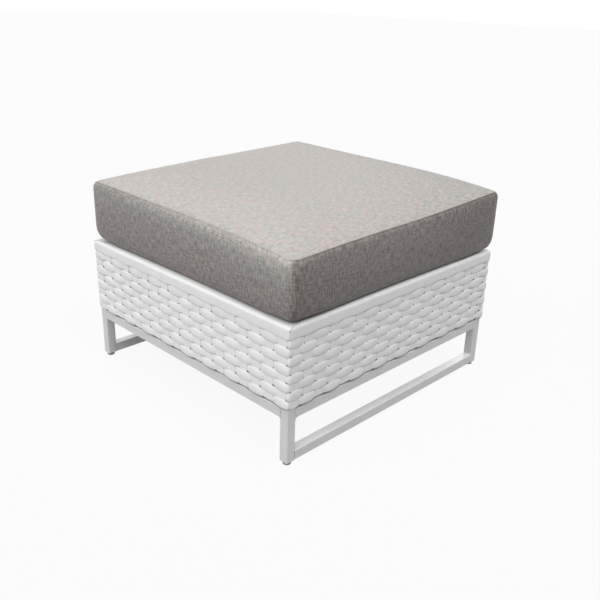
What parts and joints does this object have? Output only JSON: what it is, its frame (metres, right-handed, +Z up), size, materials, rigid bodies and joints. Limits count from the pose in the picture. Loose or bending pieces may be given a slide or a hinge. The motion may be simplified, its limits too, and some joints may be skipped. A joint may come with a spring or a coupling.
{
  "type": "outdoor ottoman footstool",
  "caption": "Square patio ottoman: woven flat-strand resin body on a square-tube sled base with levelling glides, strapped seat and a loose zipped box cushion.",
  "frame": {"origin": "on the floor, under the middle of the footstool", "axes": "+Z up; +Y towards the side of the cushion with the zip, called back; +X and -X are the two sides that have a floor runner, +X being right"},
  "size_m": [0.699, 0.699, 0.4668],
  "materials": {
    "frame": "satin",
    "weave": "satin",
    "strap": "matte",
    "dark_plastic": "matte",
    "zinc_steel": "satin",
    "fabric": "matte",
    "fill": "matte",
    "zip": "matte"
  },
  "bodies": {
    "frame": {"leg_front_left": "frame", "leg_front_right": "frame", "leg_back_left": "frame", "leg_back_right": "frame", "lower_rail_front": "frame", "lower_rail_back": "frame", "lower_rail_left": "frame", "lower_rail_right": "frame", "runner_left": "frame", "runner_right": "frame", "seat_rail_front": "frame", "seat_rail_back": "frame", "seat_rail_left": "frame", "seat_rail_right": "frame", "seat_bar_front": "frame", "seat_bar_back": "frame", "weave_rod_front": "frame", "weave_rod_back": "frame", "weave_rod_left": "frame", "weave_rod_right": "frame", "leg_insert_front_left": "dark_plastic", "leg_insert_front_right": "dark_plastic", "leg_insert_back_left": "dark_plastic", "leg_insert_back_right": "dark_plastic", "woven_panel_front": "weave", "woven_panel_back": "weave", "woven_panel_left": "weave", "woven_panel_right": "weave", "rim_strip_front": "weave", "rim_strip_back": "weave", "rim_strip_left": "weave", "rim_strip_right": "weave", "seat_strap_across_1": "strap", "seat_strap_across_2": "strap", "seat_strap_across_3": "strap", "seat_strap_across_4": "strap", "seat_strap_across_5": "strap", "seat_strap_across_6": "strap", "seat_strap_along_1": "strap", "seat_strap_along_2": "strap", "seat_strap_along_3": "strap", "seat_strap_along_4": "strap", "seat_strap_along_5": "strap", "seat_strap_along_6": "strap"},
    "cushion": {"cushion_cover": "fabric", "cushion_fill": "fill", "zip_tape": "zip"},
    "zip_slider": {"zip_slider": "zinc_steel"},
    "zip_pull": {"zip_pull": "zinc_steel"},
    "glide_front_left": {"glide_front_left": "dark_plastic", "glide_stud_front_left": "zinc_steel"},
    "glide_front_right": {"glide_front_right": "dark_plastic", "glide_stud_front_right": "zinc_steel"},
    "glide_back_left": {"glide_back_left": "dark_plastic", "glide_stud_back_left": "zinc_steel"},
    "glide_back_right": {"glide_back_right": "dark_plastic", "glide_stud_back_right": "zinc_steel"}
  },
  "joints": [
    {"name": "cushion_lift", "type": "slide", "parent": "frame", "child": "cushion", "axis": [0, 0, 1], "range_m": [0, 0.25]},
    {"name": "zip_slide", "type": "slide", "parent": "cushion", "child": "zip_slider", "axis": [-1, 0, 0], "range_m": [0, 0.429]},
    {"name": "zip_pull_swing", "type": "hinge", "parent": "zip_slider", "child": "zip_pull", "pos_m": [0.2145, 0.3438, 0.3788], "axis": [1, 0, 0], "range_deg": [-6, 165]},
    {"name": "glide_front_left_turn", "type": "hinge", "parent": "frame", "child": "glide_front_left", "pos_m": [-0.33275, -0.33275, 0.004], "axis": [0, 0, -1], "range_deg": [0, 2160]},
    {"name": "glide_front_right_turn", "type": "hinge", "parent": "frame", "child": "glide_front_right", "pos_m": [0.33275, -0.33275, 0.004], "axis": [0, 0, -1], "range_deg": [0, 2160]},
    {"name": "glide_back_left_turn", "type": "hinge", "parent": "frame", "child": "glide_back_left", "pos_m": [-0.33275, 0.33275, 0.004], "axis": [0, 0, -1], "range_deg": [0, 2160]},
    {"name": "glide_back_right_turn", "type": "hinge", "parent": "frame", "child": "glide_back_right", "pos_m": [0.33275, 0.33275, 0.004], "axis": [0, 0, -1], "range_deg": [0, 2160]}
  ]
}
